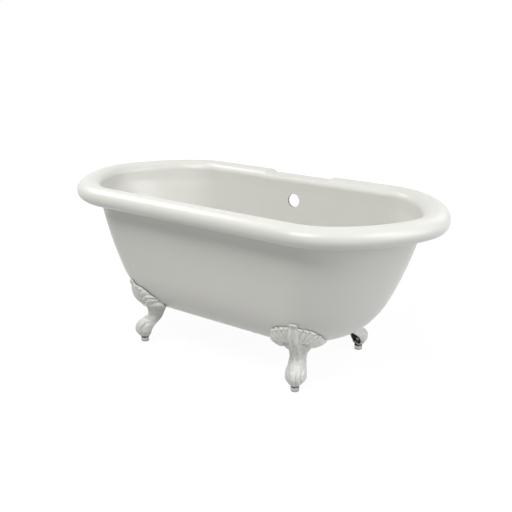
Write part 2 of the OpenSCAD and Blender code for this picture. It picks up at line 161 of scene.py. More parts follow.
def softbox(name, place, size, power, colour=(1, 1, 1)):
    """A large square lamp at place, in metres, turned to the bath."""
    data = bpy.data.lights.new(name, "AREA")
    data.shape = "SQUARE"
    data.size = size
    data.energy = power
    data.color = colour
    lamp = bpy.data.objects.new(name, data)
    lamp.location = place
    lamp.rotation_euler = (Vector(place) - Vector(BATH_MIDDLE)).to_track_quat("Z", "Y").to_euler()
    scene.collection.objects.link(lamp)


softbox("key_box", (0, -2.1, 3.0), 1.5, 68, WARM)
softbox("high_left_box", (-2.4, 0.0, 2.75), 1.4, 38, WARM)
softbox("high_right_box", (2.4, 0.0, 2.75), 1.4, 33)
softbox("right_box", (3.4, 0.3, 1.3), 1.8, 40, COOL)
softbox("front_box", (0.6, -3.6, 0.9), 1.4, 12)
softbox("back_box", (0.5, 3.0, 2.0), 1.4, 6)

# %% [markdown]
# Every finish is procedural: noise and waves, worked out from the piece's own coordinates,
# change the colour, the roughness and the bump a little. Real surfaces are never quite even,
# and it is this small unevenness that makes a plain white thing look real. Values that are
# the same all over, such as the metallic share or the coat, are set on the shader itself.

# %% Helpers for finishes
def noise(add, scale, detail=3.0, stretch=(1, 1, 1), low=0.0, high=1.0):
    """Noise in the piece's own metres, stretched per axis and spread from low to high. Most
    of its values lie between 0.3 and 0.7, and the spread isn't cut off beyond these, because
    a cut-off makes patches with a hard edge."""
    where = add("ShaderNodeTexCoord").outputs["Object"]
    sized = add("ShaderNodeMapping", {"Vector": where, "Scale": stretch})
    cloud = add("ShaderNodeTexNoise", {"Vector": sized.outputs[0], "Scale": scale, "Detail": detail})
    return add("ShaderNodeMapRange", {"Value": cloud.outputs[0], 1: 0.2, 2: 0.8, 3: low, 4: high},
               clamp=False).outputs[0]


COAT_ROUGHNESS, IOR, SPECULAR = 0.08, 1.5, 0.5


def finish(name, colour, dark, tint_noise, roughness, bumps, metallic=0.0, coat=0.0):
    """A surface whose colour runs between colour and dark, with uneven gloss and bumps.
    tint_noise is the noise for the colour, roughness is (noise, low, high), and bumps is a
    list of (noise, height in metres)."""
    material = bpy.data.materials.new(name)
    tree, add = new_tree(material)
    surface = add("ShaderNodeBsdfPrincipled",
                  {"Metallic": metallic, "Coat Weight": coat, "Coat Roughness": COAT_ROUGHNESS,
                   "IOR": IOR, "Specular IOR Level": SPECULAR})
    tint = noise(add, **tint_noise)
    colours = add("ShaderNodeMix", {"Factor": tint, 6: (*colour, 1), 7: (*dark, 1)}, data_type="RGBA")
    tree.links.new(colours.outputs[2], surface.inputs["Base Color"])
    kind, low, high = roughness
    tree.links.new(noise(add, **kind, low=low, high=high), surface.inputs["Roughness"])
    normal = None
    for kind, height in bumps:
        bump = add("ShaderNodeBump", {"Height": noise(add, **kind), "Distance": height})
        if normal:
            tree.links.new(normal, bump.inputs["Normal"])
        normal = bump.outputs[0]
    if normal:
        tree.links.new(normal, surface.inputs["Normal"])
    add("ShaderNodeOutputMaterial", {"Surface": surface.outputs[0]})
    return material


# %% The finishes
ACRYLIC = finish("gloss_acrylic", (0.718, 0.715, 0.683), (0.713, 0.710, 0.678),
                 dict(scale=9.0), (dict(scale=7.0, detail=1.0), 0.29, 0.325),
                 [(dict(scale=400.0, detail=0.0), 0.000004)])
# The overflow bore's cut laminate, made darker than the laminate is, as painted shade inside the bore
CUT_EDGE_PAINTED_SHADE = finish("cut_laminate_painted_shade", (0.22, 0.215, 0.20), (0.15, 0.146, 0.136),
                  dict(scale=300.0, detail=4.0), (dict(scale=300.0), 0.6, 0.8),
                  [(dict(scale=700.0), 0.0002)])
PAINT = finish("foot_paint", (0.775, 0.775, 0.75), (0.69, 0.69, 0.665),
               dict(scale=38.0, detail=5.0), (dict(scale=30.0), 0.30, 0.46),
               [(dict(scale=60.0, detail=2.0), 0.0016), (dict(scale=150.0), 0.0003),
                (dict(scale=700.0, detail=2.0), 0.00005)])
RAW_CAST = finish("raw_casting", (0.22, 0.215, 0.20), (0.13, 0.125, 0.115),
                  dict(scale=90.0, detail=6.0), (dict(scale=60.0), 0.6, 0.85),
                  [(dict(scale=260.0, detail=5.0), 0.0012)])
SCREW_STEEL = finish("screw_steel", (0.52, 0.52, 0.507), (0.36, 0.36, 0.347),
                     dict(scale=120.0, detail=5.0), (dict(scale=200.0), 0.30, 0.50),
                     [(dict(scale=900.0), 0.00005)], metallic=1.0)
# Painted shade: a dark, non-metal steel for the screw head's top and upper sides, standing in for the
# paw's shadow
PAINTED_SHADE_STEEL = finish("steel_painted_shade", (0.16, 0.16, 0.154), (0.09, 0.09, 0.086),
                     dict(scale=160.0, detail=4.0), (dict(scale=200.0), 0.35, 0.55),
                     [(dict(scale=900.0), 0.00005)])
ZINC = finish("zinc_plate", (0.27, 0.27, 0.265), (0.18, 0.18, 0.175),
              dict(scale=160.0, detail=5.0), (dict(scale=200.0), 0.35, 0.55),
              [(dict(scale=900.0), 0.00004)], metallic=1.0)
BRASS = finish("turned_brass", (0.78, 0.60, 0.30), (0.62, 0.46, 0.22),
               dict(scale=120.0, detail=4.0), (dict(scale=160.0), 0.24, 0.4),
               [(dict(scale=1200.0, stretch=(1, 1, 6)), 0.00005)], metallic=1.0)
PLASTIC = finish("moulded_plastic", (0.54, 0.54, 0.53), (0.44, 0.44, 0.43),
                 dict(scale=200.0, detail=4.0), (dict(scale=300.0), 0.45, 0.6),
                 [(dict(scale=1500.0, detail=2.0), 0.00004)])
PLY = finish("floor_plywood", (0.60, 0.46, 0.30), (0.43, 0.31, 0.19),
             dict(scale=26.0, detail=6.0, stretch=(0.12, 1.6, 9)), (dict(scale=20.0), 0.32, 0.55),
             [(dict(scale=60.0, detail=6.0, stretch=(0.1, 2, 2)), 0.0006)], coat=0.35)
BLOCK_WOOD = finish("block_timber", (0.62, 0.48, 0.32), (0.44, 0.31, 0.19),
                    dict(scale=60.0, detail=6.0, stretch=(0.25, 1.6, 2.5)), (dict(scale=40.0), 0.4, 0.65),
                    [(dict(scale=160.0, detail=6.0, stretch=(0.2, 2, 2)), 0.0006)], coat=0.2)
print("finishes", len(bpy.data.materials))

# %% [markdown]
# The acrylic skin is one sheet: flat floor, turned-up walls, a roll over the top and a lip
# that curls under. Its plan is a straight side that runs into a rounded end. One rule gives
# every ring of the skin, so the fine mesh here follows the construction's solid exactly, only
# with many more points. A subdivision modifier would pull the skin inwards, away from its
# sizes, so the points are worked out directly instead.

# %% Sizes of the bath, in millimetres
BATH_L, BATH_W, BATH_H, BASE_H = 1500, 754, 617, 140
SIDE_STRAIGHT, END_FULL, TIP_BLUNT = 401, 1.47, 0.15
ROLL_W, ROLL_H, ROLL_T, ROLL_SQUARE, LIP_TURN = 92, 67.5, 7, 2.1, 30
LEDGE_L, LEDGE_DROP, LEDGE_SLOPE = 260, 16, 22
BODY_HALF_L, BODY_HALF_W, BODY_STRAIGHT = 659, 292, 397
END_LEAN, END_BOW, SIDE_LEAN, SIDE_BOW = 109, 79, 14, 46
TURN_H, TURN_IN, WALL_T, FLOOR_T = 147, 83, 8, 23
BLEND_H = 70
ROLL_MID_Z = BATH_H - ROLL_H / 2
BODY_TOP_Z = BATH_H - ROLL_H
LEDGE_Z = BATH_H - LEDGE_DROP
FLOOR_Z = BASE_H + FLOOR_T
OVERFLOW_R, OVERFLOW_Z = 26, 514

# %% The plan's points, for one quarter and then all round
END_STEPS = 48
end_angles = np.radians(np.linspace(0, 90, END_STEPS + 1))
side_shares = np.concatenate([np.linspace(1, 0.42, 11), np.linspace(0.42, 0.30, 15)[1:],
                              np.linspace(0.30, 0.10, 9)[1:], np.linspace(0.10, 0, 9)[1:]])
QUARTER = END_STEPS + len(side_shares) - 1


def end_raw(v):
    return (v * v + TIP_BLUNT ** 2) ** (END_FULL / 2) - TIP_BLUNT ** END_FULL


END_WHOLE = end_raw(1.0)


def end_v(w):
    """How far across an end lies, where the share w of its curve is used up."""
    raised = (w * END_WHOLE + TIP_BLUNT ** END_FULL) ** (2 / END_FULL)
    return np.sqrt(np.maximum(0, raised - TIP_BLUNT ** 2))


# Straight points have cos 0 and v 1, and end points have share 1
quarter_share = np.concatenate([np.ones(END_STEPS), side_shares])
quarter_cos = np.concatenate([np.cos(end_angles[:-1]), np.zeros(len(side_shares))])
quarter_v = np.concatenate([end_v(np.sin(end_angles[:-1]) ** 2), np.ones(len(side_shares))])
index = np.arange(4 * QUARTER)
part, step = index // QUARTER, index % QUARTER
pick = np.where(part % 2 == 0, step, QUARTER - step)
side_x = np.where((part == 0) | (part == 3), 1, -1)
side_y = np.where(part < 2, 1, -1)
share_all, cos_all, v_all = quarter_share[pick], quarter_cos[pick], quarter_v[pick]


def plan_ring(a, b, s, inward=0.0):
    """The plan with half length a, half width b and half straight s, drawn in by inward."""
    x = s * share_all + (a - s) * cos_all
    y = b * v_all
    nx = 2 * cos_all / (a - s)
    ny = END_FULL * v_all * (v_all ** 2 + TIP_BLUNT ** 2) ** (END_FULL / 2 - 1) / END_WHOLE / b
    n = np.hypot(nx, ny)
    return np.stack([side_x * (x - inward * nx / n), side_y * (y - inward * ny / n)], axis=1)


print("points round the bath", len(index))


# %% The body's profile
def smooth(f):
    """A smooth step from 0 to 1."""
    c = np.clip(f, 0, 1)
    return c * c * (3 - 2 * c)


def round_top(f):
    """The height of a half circle at place f, from -1 to 1."""
    return np.sqrt(np.maximum(0, 1 - f * f))


def signed_pow(v, e):
    return np.sign(v) * np.abs(v) ** e


def depth_share(z):
    """0 at the body's top and 1 at its underside."""
    return np.maximum(0, (BODY_TOP_Z - z) / (BODY_TOP_Z - BASE_H))


def half_l(z):
    f = depth_share(z)
    return BODY_HALF_L - END_LEAN * f - END_BOW * f * f


def half_w(z):
    f = depth_share(z)
    return BODY_HALF_W - SIDE_LEAN * f - SIDE_BOW * f * f


def turn_share(z):
    """How far in the turn under the wall has come at height z."""
    h = np.clip((BASE_H + TURN_H - z) / TURN_H, 0, 1)
    return 1 - round_top(h)


def straight(a):
    return BODY_STRAIGHT * a / BODY_HALF_L


# %% Rings of the wall, the turn and the roll
LEDGE_EDGE = 2.6


def flat(xy, z):
    """Points in plan, all at height z."""
    return np.column_stack([xy, np.full(len(xy), z)])


def wall_ring(z, t):
    f = smooth((ROLL_MID_Z - z) / BLEND_H)
    a = half_l(z) - TURN_IN * turn_share(z) - t
    b = half_w(z) - TURN_IN * turn_share(z) - t
    upper = plan_ring(BATH_L / 2, BATH_W / 2, SIDE_STRAIGHT, ROLL_W - ROLL_T + t * ROLL_T / WALL_T)
    xy = upper + (plan_ring(a, b, straight(a)) - upper) * f
    return flat(xy, z)


def turn_ring(degrees, t, floor_t):
    """A ring of the turn between wall, 0 degrees, and floor, 90 degrees."""
    w = math.radians(degrees)
    z = BASE_H + TURN_H * (1 - math.sin(w))
    drawn = TURN_IN * (1 - math.cos(w)) + t * math.cos(w)
    a, b = half_l(z) - drawn, half_w(z) - drawn
    xy = plan_ring(a, b, straight(a))
    return flat(xy, z + floor_t * math.sin(w))


def roll_ring(degrees, t):
    """A ring of the roll's skin, t inside its surface: 180 is the inside, 90 the top."""
    a = math.radians(degrees)
    d = ROLL_W / 2 - (ROLL_W / 2 - t) * signed_pow(math.cos(a), 2 / ROLL_SQUARE)
    z = ROLL_MID_Z + (ROLL_H / 2 - t) * signed_pow(math.sin(a), 2 / ROLL_SQUARE)
    xy = plan_ring(BATH_L / 2, BATH_W / 2, SIDE_STRAIGHT, d)
    over = z - (LEDGE_Z - t)
    cut = 0.5 * (over + math.hypot(over, LEDGE_EDGE))
    ledge = np.where(xy[:, 1] < 0, 0, 1 - smooth((np.abs(xy[:, 0]) - LEDGE_L / 2) / LEDGE_SLOPE))
    return np.column_stack([xy, z - ledge * cut])


# %% [markdown]
# The floor ends in a round waste hole with a shallow recess for its flange, and underneath
# is a pocket for the board. Rings can change their shape as they go: each point moves along
# its own ray from a circle to a stadium to the plan of the bath. That keeps the mesh one
# clean grid, with no cut edges to tidy.

# %% Rings of the floor, above and below
WASTE_R, RECESS_R, RECESS_DEPTH = 26, 48, 3
RECESS_Z, ROUND_R = FLOOR_Z - RECESS_DEPTH, 54
BOARD_T, POCKET_L, POCKET_W = 14, 640.6, 200.6
floor_plan = turn_ring(90, 0, 0)[:, :2]
ray = floor_plan / np.linalg.norm(floor_plan, axis=1)[:, None]
pocket_end = (POCKET_L - POCKET_W) / 2
pocket_r = POCKET_W / 2


def circle_ring(r, z):
    return flat(ray * r, z)


# How far the middle's rays run to the edge of the board's pocket
reach = np.abs(ray)
on_side = reach[:, 0] * pocket_r <= reach[:, 1] * pocket_end
far = np.where(on_side, pocket_r / np.maximum(reach[:, 1], 1e-9),
               pocket_end * reach[:, 0]
               + np.sqrt(np.maximum(0, pocket_r ** 2 - (pocket_end * reach[:, 1]) ** 2)))
pocket = ray * far[:, None]

# Each row's radius and height, counted from the hole's or the recess's edge
waste_rows = [(0, -6), (0, -3.5), (0, -0.9), (0.2, -0.4), (0.6, -0.1), (1.2, 0), (9, 0)]
recess_rows = [(-4.4, 0), (-3.4, 0.1), (-2.6, 0.5), (-1.8, 1.3), (-1, 2.1), (-0.2, 2.7),
               (0.8, 2.95), (2, RECESS_DEPTH)]
floor_rings = [circle_ring(WASTE_R + r, RECESS_Z + z) for r, z in waste_rows]
floor_rings += [circle_ring(RECESS_R + r, RECESS_Z + z) for r, z in recess_rows]
floor_rings.append(circle_ring(ROUND_R, FLOOR_Z))
edge_ring = turn_ring(90, 0, FLOOR_T)
for f in np.linspace(0, 1, 12)[1:-1]:
    floor_rings.append(circle_ring(ROUND_R, FLOOR_Z) * (1 - f) + edge_ring * f)

# %% All the rings, from the waste hole up, over the roll and back underneath
HOLE_TOP_Z, HOLE_ROWS, HOLE_COLS = BODY_TOP_Z, 16, 8
TURN_RINGS, LINING_RINGS = 25, 46
HOLE_LOW_Z = 2 * OVERFLOW_Z - HOLE_TOP_Z
wall_low = list(np.linspace(BASE_H + TURN_H, HOLE_LOW_Z, 15)[1:-1])
wall_hole = list(np.linspace(HOLE_LOW_Z, HOLE_TOP_Z, HOLE_ROWS + 1))
wall_high = list(np.linspace(HOLE_TOP_Z, ROLL_MID_Z, 9)[1:-1])
roll_angles = sorted({round(float(a), 3) for a in
                      list(np.arange(-120, 181, 4)) + list(np.arange(20, 45, 1.5))
                      + list(np.arange(136, 161, 1.5))}, reverse=True)
LIP_DEGREES = 5.0

rings = list(floor_rings)
rings += [turn_ring(w, WALL_T, FLOOR_T) for w in np.linspace(90, 0, TURN_RINGS)]
inner_hole_row = len(rings) + len(wall_low)
rings += [wall_ring(z, WALL_T) for z in wall_low + wall_hole + wall_high]
rings += [roll_ring(a, 0) for a in roll_angles]
for turn in np.linspace(0, 180, 9)[1:-1]:
    lean = math.radians(turn)
    rings.append(roll_ring(-90 - LIP_TURN - LIP_DEGREES * math.sin(lean),
                           ROLL_T / 2 * (1 - math.cos(lean))))
rings += [roll_ring(a, ROLL_T) for a in np.linspace(-90 - LIP_TURN, 180, LINING_RINGS)]
outer_hole_row = len(rings) + len(wall_high)
rings += [wall_ring(z, 0) for z in reversed(wall_low + wall_hole + wall_high)]
rings += [turn_ring(w, 0, 0) for w in np.linspace(0, 90, TURN_RINGS)]
rings += [flat(floor_plan * (1 - f) + pocket * f, BASE_H) for f in (0.35, 0.7, 0.98, 1)]
rings += [flat(pocket, BASE_H + BOARD_T / 2), flat(pocket, BASE_H + BOARD_T)]
rings += [flat(pocket, BASE_H + BOARD_T) * (1 - f) + circle_ring(WASTE_R, BASE_H + BOARD_T) * f
          for f in (0.25, 0.5, 0.75)]
print("rings", len(rings), "quads", len(rings) * len(index))


# %% [markdown]
# The overflow is a round hole through the straight part of the wall. A boolean would leave
# long thin faces, which show as creases in a glossy skin. Here a square of the grid is left
# out on each face of the wall, and rings lead from the edge of the square to the round edge
# of the hole and through the wall, with a small rounding on both sides.

# %% Helpers that turn points and faces into a piece
def grid_faces(rows, cols, start=0, wrap_rows=False):
    """Quads of a grid whose columns close on themselves."""
    found = []
    for r in range(rows if wrap_rows else rows - 1):
        a, b = start + r * cols, start + (r + 1) % rows * cols
        found += [(a + i, a + (i + 1) % cols, b + (i + 1) % cols, b + i) for i in range(cols)]
    return found


def add_piece(name, points, faces, finishes, body, slot, replaced=(), face_finish=None, sharp=35):
    """A smooth-shaded mesh in millimetres, put into metres, with its body and its finishes. The slot
    argument is not used.
    """
    used = np.unique(np.concatenate([np.array(f) for f in faces]))
    new = np.full(len(points), -1)
    new[used] = np.arange(len(used))
    mesh = bpy.data.meshes.new(name)
    mesh.from_pydata((np.asarray(points)[used] * MM).tolist(), [],
                     [[int(new[k]) for k in f] for f in faces])
    for material in finishes:
        mesh.materials.append(material)
    if face_finish is not None:
        mesh.polygons.foreach_set("material_index", np.array(face_finish, dtype=np.int32))
    shape = bmesh.new()
    shape.from_mesh(mesh)
    bmesh.ops.recalc_face_normals(shape, faces=shape.faces)
    shape.to_mesh(mesh)
    shape.free()
    mesh.polygons.foreach_set("use_smooth", [True] * len(mesh.polygons))
    mesh.set_sharp_from_angle(angle=math.radians(sharp))
    mesh.validate()
    piece = bpy.data.objects.new(name, mesh)
    scene.collection.objects.link(piece)
    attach(piece, body)
    if replaced:
        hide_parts(*replaced)
    print(name, len(mesh.vertices), "points", len(mesh.polygons), "faces")
    return piece


# %% The acrylic skin with its overflow hole
EASE = 0.4
cols = len(index)
points = [np.array(r) for r in rings]
faces = grid_faces(len(rings), cols, wrap_rows=True)
left_out = set()
for row in (inner_hole_row, outer_hole_row):
    for r in range(row, row + HOLE_ROWS):
        left_out.update((r * cols + c) for c in range(QUARTER - HOLE_COLS, QUARTER + HOLE_COLS))
faces = [f for f in faces if f[0] not in left_out]


def hole_border(row):
    """The grid's point numbers round the square that is left out, in one direction."""
    low, high = QUARTER - HOLE_COLS, QUARTER + HOLE_COLS
    loop = [row * cols + c for c in range(low, high)]
    loop += [r * cols + high for r in range(row, row + HOLE_ROWS)]
    loop += [(row + HOLE_ROWS) * cols + c for c in range(high, low, -1)]
    loop += [r * cols + low for r in range(row + HOLE_ROWS, row, -1)]
    return loop


def side_face(z, t):
    """Where the straight wall's face lies, t inside the outer face."""
    f = smooth((ROLL_MID_Z - z) / BLEND_H)
    upper = BATH_W / 2 - (ROLL_W - ROLL_T + t * ROLL_T / WALL_T)
    return upper + (half_w(z) - t - upper) * f


grid_points = np.concatenate(points)
borders, hole_rings = [hole_border(inner_hole_row), hole_border(outer_hole_row)], []
for border, t, away_sign in ((borders[0], WALL_T, 1), (borders[1], 0, -1)):
    edge = grid_points[border]
    angle = np.arctan2(edge[:, 2] - OVERFLOW_Z, edge[:, 0])
    rings_here = []
    for f in (0.3, 0.6, 0.85, 1.0):
        x = edge[:, 0] * (1 - f) + (OVERFLOW_R + EASE) * np.cos(angle) * f
        z = edge[:, 2] * (1 - f) + (OVERFLOW_Z + (OVERFLOW_R + EASE) * np.sin(angle)) * f
        rings_here.append(np.column_stack([x, side_face(z, t), z]))
    for turn in np.radians([22, 45, 68, 90]):
        r = OVERFLOW_R + EASE * (1 - math.sin(turn))
        x, z = r * np.cos(angle), OVERFLOW_Z + r * np.sin(angle)
        y = side_face(z, t) + away_sign * EASE * (1 - math.cos(turn))
        rings_here.append(np.column_stack([x, y, z]))
    hole_rings.append(rings_here)

# The two borders run in opposite directions, so the second is set to the first by angle
first_angle, second_angle = (
    np.arctan2(grid_points[border][:, 2] - OVERFLOW_Z, grid_points[border][:, 0]) for border in borders)
match = [int(np.argmin(np.abs(np.angle(np.exp(1j * (second_angle - a)))))) for a in first_angle]
count = len(borders[0])
through = hole_rings[0] + [r[match] for r in reversed(hole_rings[1])]
start = len(grid_points)
all_points = np.concatenate([grid_points] + through)
loops = [borders[0]]
loops += [list(range(start + k * count, start + (k + 1) * count)) for k in range(len(through))]
loops.append([borders[1][m] for m in match])
skin_finish = [0] * len(faces)
# The band through the wall takes the cut edge's finish, which is darkened as painted shade in the bore
for k, (a, b) in enumerate(zip(loops[:-1], loops[1:])):
    faces += [(a[i], a[(i + 1) % count], b[(i + 1) % count], b[i]) for i in range(count)]
    skin_finish += [1 if k == len(hole_rings[0]) else 0] * count

add_piece("acrylic_skin", all_points, faces, [ACRYLIC, CUT_EDGE_PAINTED_SHADE],
          "bath", "acrylic_white", ["bath_shell"], skin_finish)

# %% [markdown]
# Each foot is one hollow casting: a paw, a slim leg and a fan of leaves that lies against
# the bath. On the real thing the ornament is modelled in clay and cast, so it is all one
# surface. Sculpting by hand can't be repeated from a script, so the relief is a height that
# is worked out for each point of a fine surface, from the places of the ribs, leaves and
# toes, and added along the surface's own direction.

# %% Sizes of a foot, in millimetres
FOOT_X, FOOT_Y, FOOT_TURN = 352, 214.5, math.radians(65)
PAW_Z, PAW_HALF_W, ANKLE_HALF_W, FAN_HALF_W = 22, 38, 29, 91
CAST_T, FOOT_GAP, FAN_LIP, KNOB_RISE, KNOB_HALF_W, EDGE_DROOP = 7, 2, 5, 15, 15.5, 3
STATIONS = np.array([
    [22, 22, 14, 0.41 * PAW_HALF_W, -11, 2],
    [30, 30, 23, 0.74 * PAW_HALF_W, -10, 2],
    [42, 42, 30, 0.95 * PAW_HALF_W, -12, 2.1],
    [55, 55, 33, PAW_HALF_W, -16, 2.1],
    [68, 68, 29, 0.97 * PAW_HALF_W, -26, 2.2],
    [80, 80, 16, 0.88 * PAW_HALF_W, -41, 2.2],
    [92, 92, -8, 0.9 * ANKLE_HALF_W + 0.1 * PAW_HALF_W, -56, 2.3],
    [106, 106, -17, ANKLE_HALF_W, -66, 2.4],
    [124, 124, -16, ANKLE_HALF_W + 3, -70, 2.4],
    [140, 141, -8, ANKLE_HALF_W + 11, -72, 2.4],
    [152, 152, 2, 0.6 * FAN_HALF_W, -72, 2.3],
    [166, 160, 12, 0.84 * FAN_HALF_W, -72, 2.2],
    [186, 172, 26, FAN_HALF_W, -72, 2.1],
    [210, 188, 36, 0.97 * FAN_HALF_W, -72, 2],
    [228, 200, 39, 0.93 * FAN_HALF_W, -72, 2],
    [243, 208, 39, 0.91 * FAN_HALF_W, -72, 2]])
LAST = len(STATIONS) - 1


# %% The bath's skin as the foot meets it
def foot_xy(r, t):
    return (FOOT_X + r * math.cos(FOOT_TURN) - t * math.sin(FOOT_TURN),
            FOOT_Y + r * math.sin(FOOT_TURN) + t * math.cos(FOOT_TURN))


def in_bath(x, y, z):
    a = half_l(z) - TURN_IN * turn_share(z)
    b = half_w(z) - TURN_IN * turn_share(z)
    s = straight(a)
    u = np.maximum(0, np.abs(x) - s) / (a - s)
    return (z >= BASE_H) & (u * u + end_raw(np.abs(y) / b) / END_WHOLE < 1)


SEARCH_HALF, HALVINGS = 170.0, 18


def skin_r(t, z):
    """How far out the bath's skin lies at sideways place t and height z, by halving."""
    low, high = np.full(np.shape(t), -SEARCH_HALF), np.full(np.shape(t), SEARCH_HALF)
    for _ in range(HALVINGS):
        middle = (low + high) / 2
        inside = in_bath(*foot_xy(middle, t), z)
        low, high = np.where(inside, middle, low), np.where(inside, high, middle)
    return high


# %% The plain surface of a foot
def knob_shape(side):
    """A cap that is nearly flat on top and drops steeply at its sides."""
    return np.exp(-(np.abs(side) / KNOB_HALF_W) ** 6)


def station_row(u):
    """The stations' smooth curve at place u, counted in stations from the paw up."""
    k = min(LAST - 1, int(u))
    f = u - k
    a, b, c, d = (STATIONS[min(LAST, max(0, n))] for n in (k - 1, k, k + 1, k + 2))
    return b + f * 0.5 * (c - a + f * (2 * a - 5 * b + 4 * c - d + f * (3 * (b - c) + d - a)))


def foot_surface(places, angles, t):
    """Points (out, sideways, up) of a foot's face, t inside its outer face."""
    rows = []
    for u in places:
        v = station_row(u)
        w = v[3] - t
        z0 = max(v[0], PAW_Z + CAST_T + 0.8 * u) if t > 0 else v[0]
        side = w * signed_pow(np.cos(angles), 2 / v[5])
        along = np.abs(side) / w
        knob = KNOB_RISE * smooth(1 + (2 * u - 2 * LAST) / 3) * knob_shape(side)
        z = z0 + (v[1] - v[0]) * along ** EDGE_DROOP + knob
        edge_skin = skin_r(w * np.sign(np.cos(angles)), np.full(len(angles), v[1]))
        edge = np.maximum(v[4], edge_skin + FOOT_GAP)
        bow = edge + (v[2] - t - edge) * np.maximum(0, np.sin(angles)) ** (2 / v[5])
        skin = skin_r(side, z) + FOOT_GAP + (0 if t > 0 else FAN_LIP * (1 - along ** 8))
        rows.append(np.column_stack([np.maximum(bow, skin), side, z]))
    return np.array(rows)


FOOT_ROWS, FOOT_COLS, TRAVEL_STEPS = 192, 180, 600
travel_places = np.linspace(0, LAST, TRAVEL_STEPS)
travel = [station_row(u) for u in travel_places]
lengths = np.cumsum([0] + [np.linalg.norm((b - a)[[0, 2, 3]]) for a, b in zip(travel[:-1], travel[1:])])
share_up = lengths / lengths[-1]
# The rows lie closer together in the top tenth, where the edge curls over
crowd = np.cumsum(np.gradient(share_up) * (1 + 1.5 * smooth((share_up - 0.86) / 0.06)))
row_share = np.interp(np.linspace(crowd[0], crowd[-1], FOOT_ROWS + 1), crowd, share_up)
foot_places = np.interp(row_share, share_up, travel_places)
foot_angles = np.linspace(0, math.pi, FOOT_COLS + 1)
FAN_IN = 3.0


def bell(d, width):
    """A smooth bump, 1 where d is 0."""
    return np.exp(-(d / width) ** 2)


def drawn_in(grid):
    """Takes a face a little towards the bath in the fan's middle, where it stands out least."""
    t, z = grid[..., 1], grid[..., 2]
    middle = smooth((z - 170) / 50) * (1 - smooth((z - 238) / 12)) * bell(t, 55)
    clear = np.where(z > BASE_H, skin_r(t, z) + FOOT_GAP, grid[..., 0] - 20)
    grid[..., 0] = np.maximum(grid[..., 0] - FAN_IN * middle, clear)
    return grid


plain = drawn_in(foot_surface(foot_places, foot_angles, 0))
hollow = drawn_in(foot_surface(foot_places, foot_angles, CAST_T))
print("foot surface", plain.shape, "height", round(float(plain[..., 2].max()), 1))

# %% [markdown]
# The relief has these parts, from the top down: a central rib with a curled tip, a fan of
# rounded leaves on each side whose tips make the scalloped edge, folds where the leaves
# gather, a collar round the leg, two rolls with a groove between them, a cuff, and the toes.

# %% The relief's parts
def near_line(t, z, a, b):
    """Distance from each (t, z) to the straight line from a to b."""
    ax, az, bx, bz = *a, *b
    f = np.clip(((t - ax) * (bx - ax) + (z - az) * (bz - az)) / ((bx - ax) ** 2 + (bz - az) ** 2), 0, 1)
    return np.hypot(t - ax - f * (bx - ax), z - az - f * (bz - az))


LEAF_ROOT_Z = 148.0
LEAF_EDGES = np.radians([84.0, 69.5, 57.0, 45.0, 33.5, 21.0, 7.0])


def leaf_place(p, z):
    """Where a point lies in its leaf, from -1 to 1 across it."""
    angle = np.arctan2(z - LEAF_ROOT_Z, np.maximum(p, 1e-6))
    across = np.full(p.shape, 1.0)
    for high, low in zip(LEAF_EDGES[:-1], LEAF_EDGES[1:]):
        here = (angle <= high) & (angle > low)
        across = np.where(here, 2 * (angle - (high + low) / 2) / (high - low), across)
    return across


def leaf_fan(t, z):
    p = np.abs(t)
    across = leaf_place(p, z)
    out = np.hypot(p, z - LEAF_ROOT_Z)
    grows = smooth((out - 22) / 45) * smooth((z - 152) / 14)
    ribs = 5.4 * (np.cos(across * math.pi / 2) - 0.6)
    veins = -1.6 * bell(across, 0.22) * smooth((out - 34) / 24) * smooth((96 - out) / 16)
    return grows * (ribs + veins)


RIB_HALF_W, GROOVE_T = 14.5, 1


def trunk(t, z):
    """The central rib, its rolls and groove, the leg's hollow and the cap's lip."""
    p = np.abs(t)
    across = np.exp(-(p / RIB_HALF_W) ** 6)
    rib = 4.0 * across * smooth((z - 150) / 26)
    groove = 2.4 * bell(t - GROOVE_T, 3.6) * smooth((z - 120) / 40)
    rolls = (2.4 * bell(p - 9, 4.4) - groove) * smooth((z - 97) / 6) * smooth((250 - z) / 12)
    leg = -3.6 * smooth((27 - p) / 8) * smooth((z - 97) / 5) * (1 - smooth((z - 140) / 16))
    lip = 1.6 * bell(z - 254.5, 3.0) * across
    return rib + rolls + leg + lip


# Ridges and creases: how high, from where to where (sideways, up), and how wide
FOLD_LINES = [(2.6, (22, 186), (42, 184), 3.2), (2.0, (20, 157), (47, 171), 2.6),
              (1.6, (30, 145), (49, 155), 2.4), (-1.8, (26, 152), (48, 163), 2.2),
              (-3.0, (30, 151), (52, 153), 2.2), (1.0, (54, 170), (86, 179), 1.8)]


def folds(t, z):
    """The hollow at the leaves' root and the folds round it."""
    p = np.abs(t)
    hollow_place = -7.5 * np.exp(-(np.hypot(p - 30, (z - 175) / 1.1) / 8.5) ** 6)
    lines = sum(high * bell(near_line(p, z, a, b), width) for high, a, b, width in FOLD_LINES)
    skirt = 3.8 * smooth((z - 157) / 2.4) * (1 - smooth((z - 166) / 14)) * smooth((p - 38) / 7)
    notch = -3.0 * bell(np.hypot((p - 46) / 1.4, z - 154), 4)
    collar_z = 149 + 0.004 * p * p
    collar = 2.2 * smooth((z - collar_z + 3) / 3) * (1 - smooth((z - collar_z) / 9)) * smooth((34 - p) / 8)
    return hollow_place + lines + skirt + notch + collar


TOE_GROOVES = np.array([-48.0, -24.0, -6.0, 21.0, 46.0])


